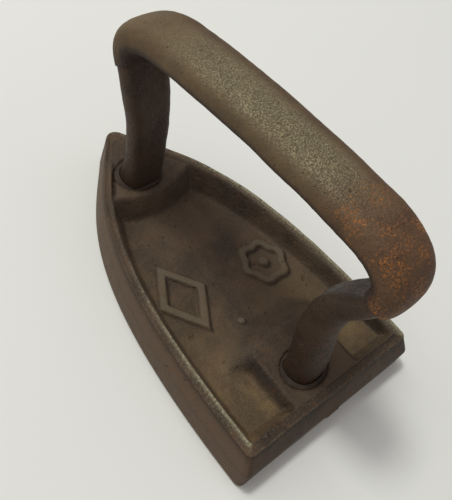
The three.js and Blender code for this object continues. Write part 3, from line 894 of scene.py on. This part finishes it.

# The grip, with painted shade on its right flank and beneath, and a band of wear that is partly a painted
# sheen
GRIP_DARK, GRIP_PALE, GRIP_FLECK = colour(92, 75, 52), colour(108, 89, 61), colour(74, 60, 46)
GRIP_FLANK_SHADE, GRIP_UNDER, GRIP_PIT = colour(78, 60, 46), colour(56, 44, 39), colour(40, 32, 27)
RUBBED_AND_SHEEN, RUBBED_BRIGHT_SHEEN, RUBBED_DARK = colour(108, 101, 78), colour(156, 149, 118), colour(62, 54, 42)
REAR_BROWN, REAR_STAIN, REAR_GRAIN = colour(80, 57, 44), colour(58, 38, 30), colour(118, 88, 60)
RUST_DEEP, RUST_ORANGE = colour(116, 76, 46), colour(166, 108, 52)

# The cement with its painted shade, and the floor under the iron
CEMENT_DARK, CEMENT_PALE = colour(52, 43, 36), colour(68, 56, 46)
CEMENT_LIP, CEMENT_PAINTED_SHADE = colour(84, 72, 60), colour(26, 21, 19)
PAPER_DARK, PAPER_PALE = colour(229, 232, 228), colour(233, 236, 232)


def feed(tree, socket, value):
    """Sets a node's input to a value, or links it to another node's output."""
    if isinstance(value, bpy.types.NodeSocket):
        tree.links.new(value, socket)
    else:
        socket.default_value = value


def put(tree, kind, inputs=None, **settings):
    """A node with its settings and its inputs."""
    node = tree.nodes.new(kind)
    for key, value in settings.items():
        setattr(node, key, value)
    for key, value in (inputs or {}).items():
        feed(tree, node.inputs[key], value)
    return node


def calculate(tree, operation, a, b=0.0, c=0.0):
    """The result of one sum on numbers or masks."""
    return put(tree, "ShaderNodeMath", {0: a, 1: b, 2: c}, operation=operation).outputs[0]


def times(tree, a, b):
    """The product of two numbers or masks."""
    return calculate(tree, "MULTIPLY", a, b)


def remap(tree, value, low, high, to_low=0.0, to_high=1.0):
    """A value's range from low to high stretched onto another range, with smooth ends."""
    inputs = {"Value": value, "From Min": low, "From Max": high, "To Min": to_low, "To Max": to_high}
    return put(tree, "ShaderNodeMapRange", inputs, interpolation_type="SMOOTHSTEP").outputs["Result"]


def blend_colours(tree, share, first, second):
    """The two colours mixed by the share, which is a number or a mask."""
    # A Mix node's sockets for colours are its seventh and eighth inputs and its third output.
    return put(tree, "ShaderNodeMix", {0: share, 6: first, 7: second}, data_type="RGBA").outputs[2]


def tint(tree, base, mask, strength, paint):
    """The base with a paint over it, as thick as the mask times its strength."""
    return blend_colours(tree, times(tree, mask, strength), base, paint)


def noise(tree, vector, scale, detail=3.0, roughness=0.55):
    """Fractal noise from 0 to 1."""
    inputs = {"Vector": vector, "Scale": scale, "Detail": detail, "Roughness": roughness}
    return put(tree, "ShaderNodeTexNoise", inputs).outputs["Fac"]


def new_group(name, inputs, outputs):
    """An empty shader node group with its named sockets. Returns it, its inputs and its outputs."""
    group = bpy.data.node_groups.new(name, "ShaderNodeTree")
    kinds = {"vector": "NodeSocketVector", "value": "NodeSocketFloat"}
    for way, sockets in (("INPUT", inputs), ("OUTPUT", outputs)):
        for socket, kind in sockets.items():
            group.interface.new_socket(socket, in_out=way, socket_type=kinds[kind])
    return group, group.nodes.new("NodeGroupInput").outputs, group.nodes.new("NodeGroupOutput").inputs


def casting_skin_group():
    """The skin of rough iron: a height of sand grain, soft lumps and small pits, and the pits' own mask."""
    lumps_to_grain, pits_to_grain = 0.22, 0.35  # how much coarser they are
    lump_height, pit_height = 1.4, -1.6
    inputs = {"Vector": "vector", "Grain Scale": "value", "Pit Amount": "value"}
    group, given, result = new_group("casting_skin", inputs, {"Height": "value", "Pits": "value"})
    vector, grain_scale = given["Vector"], given["Grain Scale"]
    grain = noise(group, vector, grain_scale, detail=4.0, roughness=0.6)
    lumps = noise(group, vector, times(group, grain_scale, lumps_to_grain), detail=2.0, roughness=0.5)
    # A pit is the middle of a cell, in the few places where a slow noise is high.
    pit_scale = times(group, grain_scale, pits_to_grain)
    cells = put(group, "ShaderNodeTexVoronoi", {"Vector": vector, "Scale": pit_scale}).outputs["Distance"]
    chosen = remap(group, noise(group, vector, pit_scale, detail=1.0), 0.6, 0.68)
    pits = times(group, times(group, remap(group, cells, 0.34, 0.12), chosen), given["Pit Amount"])
    height = calculate(group, "MULTIPLY_ADD", lumps, lump_height, grain)
    height = calculate(group, "MULTIPLY_ADD", pits, pit_height, height)
    group.links.new(height, result["Height"])
    group.links.new(pits, result["Pits"])
    return group


def mottle_group():
    """Three masks of uneven tone: slow patches, flecks a grain wide, and specks that gather in patches."""
    specks_to_flecks, gathering_to_patches = 0.62, 2.2
    inputs = {"Vector": "vector", "Patch Scale": "value", "Fleck Scale": "value"}
    outputs = {"Patches": "value", "Flecks": "value", "Specks": "value"}
    group, given, result = new_group("mottle", inputs, outputs)
    vector, patch_scale, fleck_scale = given["Vector"], given["Patch Scale"], given["Fleck Scale"]
    patches = noise(group, vector, patch_scale, detail=3.0, roughness=0.6)
    flecks = noise(group, vector, fleck_scale, detail=2.0, roughness=0.7)
    speck_scale = times(group, fleck_scale, specks_to_flecks)
    gathering_scale = times(group, patch_scale, gathering_to_patches)
    specks = noise(group, vector, speck_scale, detail=4.0, roughness=0.75)
    gathering = noise(group, vector, gathering_scale, detail=2.0)
    # Where the specks gather, a lower noise is already a speck.
    least = remap(group, gathering, 0.35, 0.65, 0.59, 0.47)
    specks = remap(group, specks, least, calculate(group, "ADD", least, 0.1))
    group.links.new(remap(group, patches, 0.35, 0.65), result["Patches"])
    group.links.new(remap(group, flecks, 0.36, 0.66), result["Flecks"])
    group.links.new(specks, result["Specks"])
    return group


SKIN = casting_skin_group()
MOTTLE = mottle_group()


def new_material(name, specular):
    """A new material. Returns it, its node tree, its shader and its Object coordinates."""
    material = bpy.data.materials.new(name)
    material.use_nodes = True
    tree = material.node_tree
    shader = tree.nodes["Principled BSDF"]
    shader.inputs["Specular IOR Level"].default_value = specular
    return material, tree, shader, put(tree, "ShaderNodeTexCoord").outputs["Object"]


def iron_start(name, grain_scale, pit_amount, patch_scale, fleck_scale):
    """A new iron with the two shared groups, ready for its colours."""
    material, tree, shader, vector = new_material(name, specular=0.25)
    skin_inputs = {"Vector": vector, "Grain Scale": grain_scale, "Pit Amount": pit_amount}
    mottle_inputs = {"Vector": vector, "Patch Scale": patch_scale, "Fleck Scale": fleck_scale}
    skin = put(tree, "ShaderNodeGroup", skin_inputs, node_tree=SKIN)
    mottle = put(tree, "ShaderNodeGroup", mottle_inputs, node_tree=MOTTLE)
    return material, tree, shader, skin.outputs, mottle.outputs


def mask_of(tree, name):
    """One of the piece's own masks, carried on its mesh."""
    return put(tree, "ShaderNodeAttribute", attribute_name=name).outputs["Fac"]


def finish_iron(tree, shader, base, roughness, metallic, height, depth):
    """Links the colour, roughness and metal to the shader, and the grain's height through one Bump."""
    tree.links.new(base, shader.inputs["Base Color"])
    tree.links.new(roughness, shader.inputs["Roughness"])
    tree.links.new(metallic, shader.inputs["Metallic"])
    bump = put(tree, "ShaderNodeBump", {"Strength": 1.0, "Distance": depth, "Height": height})
    tree.links.new(bump.outputs["Normal"], shader.inputs["Normal"])


def body_iron():
    """Rusty cast iron: brown-black, browner walls, ochre dust on the floor and bright worn edges."""
    material, tree, shader, skin, mottle = iron_start(
        "body_iron", grain_scale=800, pit_amount=0.6, patch_scale=42, fleck_scale=1000
    )
    patches, flecks = mottle["Patches"], mottle["Flecks"]
    base = blend_colours(tree, patches, CAST_DARK, CAST_PALE)
    base = blend_colours(tree, mask_of(tree, "wall"), base, WALL_BROWN)
    base = tint(tree, base, flecks, 0.35, CAST_FLECK)
    base = tint(tree, base, mask_of(tree, "crest"), 0.8, CREST_GREY)
    dust = times(tree, mask_of(tree, "dust"), remap(tree, patches, 0, 1, 0.35, 0.9))
    dust = times(tree, dust, remap(tree, flecks, 0, 1, 0.7, 1.0))
    base = blend_colours(tree, dust, base, OCHRE_DUST)
    # Painted shade in the crevices, at the heel and on the walls turned from the light.
    base = tint(tree, base, mask_of(tree, "painted_shade"), 0.8, BODY_PAINTED_SHADE)
    scraped = calculate(tree, "MULTIPLY_ADD", flecks, 0.3, mask_of(tree, "worn"))
    scraped = remap(tree, scraped, 0.3, 1.4)
    base = blend_colours(tree, scraped, base, BARE_EDGE)
    base = tint(tree, base, mottle["Specks"], 0.25, BODY_RUST)
    base = tint(tree, base, skin["Pits"], 0.3, BODY_PIT)
    rough = remap(tree, scraped, 0, 1, 0.62, 0.45)
    metal = remap(tree, scraped, 0, 1, 0.1, 0.6)
    finish_iron(tree, shader, base, rough, metal, skin["Height"], 0.45 * MM)
    return material


def handle_iron():
    """Forged iron under a thin brown-black skin, a little smoother than the casting."""
    material, tree, shader, skin, mottle = iron_start(
        "handle_iron", grain_scale=1100, pit_amount=0.6, patch_scale=70, fleck_scale=1300
    )
    patches, flecks = mottle["Patches"], mottle["Flecks"]
    base = blend_colours(tree, patches, FORGED_DARK, FORGED_PALE)
    base = tint(tree, base, flecks, 0.35, FORGED_FLECK)
    rusty = remap(tree, mask_of(tree, "crown"), 0, 1, 0.1, 0.35)
    base = tint(tree, base, mottle["Specks"], rusty, FORGED_RUST)
    base = tint(tree, base, skin["Pits"], 0.7, FORGED_PIT)
    rough = remap(tree, flecks, 0, 1, 0.58, 0.44)
    metal = remap(tree, patches, 0, 1, 0.1, 0.25)
    finish_iron(tree, shader, base, rough, metal, skin["Height"], 0.3 * MM)
    return material


def palm_wear_and_sheen(tree):
    """Where the palm rubs, partly a painted sheen: a wide band along the crown, a little to the left where
    the light glints, fading before both ends.
    """
    place, side, crown = (mask_of(tree, name) for name in ("place", "side", "crown"))
    off_left = 0.25
    from_band = calculate(tree, "ABSOLUTE", calculate(tree, "ADD", side, off_left))
    rubbed = times(tree, crown, remap(tree, from_band, 0.9, 0.35))
    rubbed = times(tree, rubbed, remap(tree, place, GRIP_REAR_AT + 0.05, GRIP_REAR_AT - 0.03))
    front_fade = remap(tree, place, GRIP_FRONT_AT - 0.03, GRIP_FRONT_AT + 0.1, 0.25, 1.0)
    return times(tree, rubbed, front_fade)


def grip_iron():
    """Sheet iron worn by the hand: grey-green flecks along the crown, partly a painted sheen, painted shade
    beneath, and a rusty rear end.
    """
    material, tree, shader, skin, mottle = iron_start(
        "grip_iron", grain_scale=1300, pit_amount=0.5, patch_scale=60, fleck_scale=1500
    )
    patches, flecks = mottle["Patches"], mottle["Flecks"]
    base = blend_colours(tree, patches, GRIP_DARK, GRIP_PALE)
    base = tint(tree, base, flecks, 0.55, GRIP_FLECK)
    # The right flank is darker: painted shade.
    base = tint(tree, base, remap(tree, mask_of(tree, "side"), 0.15, 0.75), 0.5, GRIP_FLANK_SHADE)
    # The worn band and its bright flecks sit where the light glints: real wear with a painted sheen.
    rubbed = palm_wear_and_sheen(tree)
    bright = times(tree, rubbed, remap(tree, flecks, 0.4, 1.0))
    dark = times(tree, rubbed, remap(tree, flecks, 0.4, 0.0))
    base = tint(tree, base, rubbed, 0.7, RUBBED_AND_SHEEN)
    base = tint(tree, base, bright, 0.7, RUBBED_BRIGHT_SHEEN)
    base = tint(tree, base, dark, 0.5, RUBBED_DARK)
    # The rear end rusts: reddish brown, stained and grainy, with orange specks.
    rear = remap(tree, mask_of(tree, "place"), GRIP_REAR_AT - 0.07, GRIP_REAR_AT + 0.05)
    base = tint(tree, base, rear, 0.7, REAR_BROWN)
    stain = times(tree, rear, remap(tree, patches, 0.9, 0.1))
    base = tint(tree, base, stain, 0.45, REAR_STAIN)
    base = tint(tree, base, times(tree, rear, flecks), 0.55, REAR_GRAIN)
    rust = blend_colours(tree, flecks, RUST_DEEP, RUST_ORANGE)
    base = tint(tree, base, mottle["Specks"], remap(tree, rear, 0, 1, 0.1, 1.0), rust)
    base = tint(tree, base, skin["Pits"], 0.6, GRIP_PIT)
    # Painted shade on the flat side and the inside, and the darker hammered-down front end.
    base = tint(tree, base, mask_of(tree, "under"), 0.9, GRIP_UNDER)
    rough = remap(tree, bright, 0, 1, 0.62, 0.45)
    metal = remap(tree, bright, 0, 1, 0.08, 0.5)
    finish_iron(tree, shader, base, rough, metal, skin["Height"], 0.42 * MM)
    return material


def caulking_iron():
    """Rust cement: dull, lumpy and nearly black, with a greyer lip."""
    material, tree, shader, skin, mottle = iron_start(
        "caulking_iron", grain_scale=1000, pit_amount=1.0, patch_scale=120, fleck_scale=1300
    )
    worn = mask_of(tree, "worn")
    base = blend_colours(tree, mottle["Patches"], CEMENT_DARK, CEMENT_PALE)
    base = tint(tree, base, worn, 0.7, CEMENT_LIP)
    # Painted shade along the cement's edges.
    base = tint(tree, base, mask_of(tree, "painted_shade"), 0.8, CEMENT_PAINTED_SHADE)
    rough = remap(tree, mottle["Flecks"], 0, 1, 0.85, 0.65)
    metal = remap(tree, worn, 0, 1, 0.0, 0.3)
    finish_iron(tree, shader, base, rough, metal, skin["Height"], 0.3 * MM)
    return material


def paper():
    """The pale floor: matt, with a hardly visible mottle."""
    material, tree, shader, vector = new_material("paper", specular=0.2)
    tone = noise(tree, vector, scale=4.0, detail=2.0)
    tree.links.new(blend_colours(tree, tone, PAPER_DARK, PAPER_PALE), shader.inputs["Base Color"])
    shader.inputs["Roughness"].default_value = 0.9
    return material


# ---- Floor, light and camera ----------------------------------------------------------------------------


FLOOR_DROP = 0.2 * MM  # keeps the floor clear of the sole
AIM_HEIGHT = 50 * MM  # of the point that the lights shine at


def floor():
    """A wide round sheet just under the sole, as rings of points about the middle."""
    radii = np.array([0, 0.2, 0.6, 1.5, 4.0])[:, None]
    turn = np.linspace(0, 2 * np.pi, 65)[None, :-1]
    level = np.zeros((len(radii), turn.size))
    flat = np.dstack([radii * np.cos(turn), radii * np.sin(turn), level])
    sheet = make_piece("floor", flat, grid_faces(*level.shape), {}, paper())
    # A flat sheet has no inside, so its faces are turned up here.
    sheet.data.flip_normals()
    sheet.location.z = -FLOOR_DROP


def soft_light(name, towards, distance, size, power, hue):
    """A square area light that shines at the middle of the iron from the given direction."""
    light = bpy.data.lights.new(name, "AREA")
    light.shape = "SQUARE"
    light.size = size
    light.energy = power
    light.color = hue
    lamp = bpy.data.objects.new(name, light)
    bpy.context.scene.collection.objects.link(lamp)
    way = Vector(towards).normalized()
    lamp.location = Vector((0, 0, AIM_HEIGHT)) + way * distance
    lamp.rotation_mode = "QUATERNION"
    lamp.rotation_quaternion = way.to_track_quat("Z", "Y")


def studio():
    """A high lamp, a wide soft light from the nose's side, and weak light from all round."""
    lamp_side, window_side = (-0.12, 0.36, 0.92), (-0.15, 0.6, 0.77)
    soft_light("lamp", lamp_side, distance=2.0, size=0.36, power=14.5, hue=(1.0, 1.0, 0.93))
    soft_light("window", window_side, distance=2.2, size=2.4, power=19.0, hue=(1.0, 0.975, 0.97))
    world = bpy.data.worlds.new("room")
    bpy.context.scene.world = world
    world.use_nodes = True
    background = world.node_tree.nodes["Background"]
    background.inputs["Color"].default_value = (1.0, 0.94, 0.94, 1)
    background.inputs["Strength"].default_value = 0.38
    bpy.context.scene.view_settings.view_transform = "Standard"


def camera():
    """The view from above the heel's left side, with the iron turned a little in view."""
    data = bpy.data.cameras.new("camera")
    data.lens = 56.44
    data.clip_start, data.clip_end = 0.01, 20
    # The directions to the camera's right and downwards.
    right = Vector((0.7244, -0.6260, 0.2887))
    down = Vector((-0.4152, -0.7305, -0.5421))
    forward = right.cross(down)
    turn = Matrix((right, -down, -forward)).transposed()
    holder = bpy.data.objects.new("camera", data)
    bpy.context.scene.collection.objects.link(holder)
    holder.rotation_mode = "QUATERNION"
    holder.rotation_quaternion = turn.to_quaternion()
    holder.location = Vector((-194.21, -98.08, 306.25)) * MM
    bpy.context.scene.camera = holder


# ---- Assembly -------------------------------------------------------------------------------------------

camera()
studio()
floor()

cement = caulking_iron()
built = {
    "body_casting": (body_casting(body_iron()), "body_iron"),
    "handle_hoop": (handle_hoop(handle_iron()), "handle_iron"),
    "grip_sleeve": (grip_sleeve(grip_iron()), "grip_iron"),
}
for node, foot_y in (("front_foot_caulking", FRONT_FOOT_Y), ("rear_foot_caulking", REAR_FOOT_Y)):
    built[node] = (caulking(node + "_visual", foot_y, cement), "caulking_iron")
for node, (piece, slot) in built.items():
    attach(piece, "root")
    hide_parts(node)
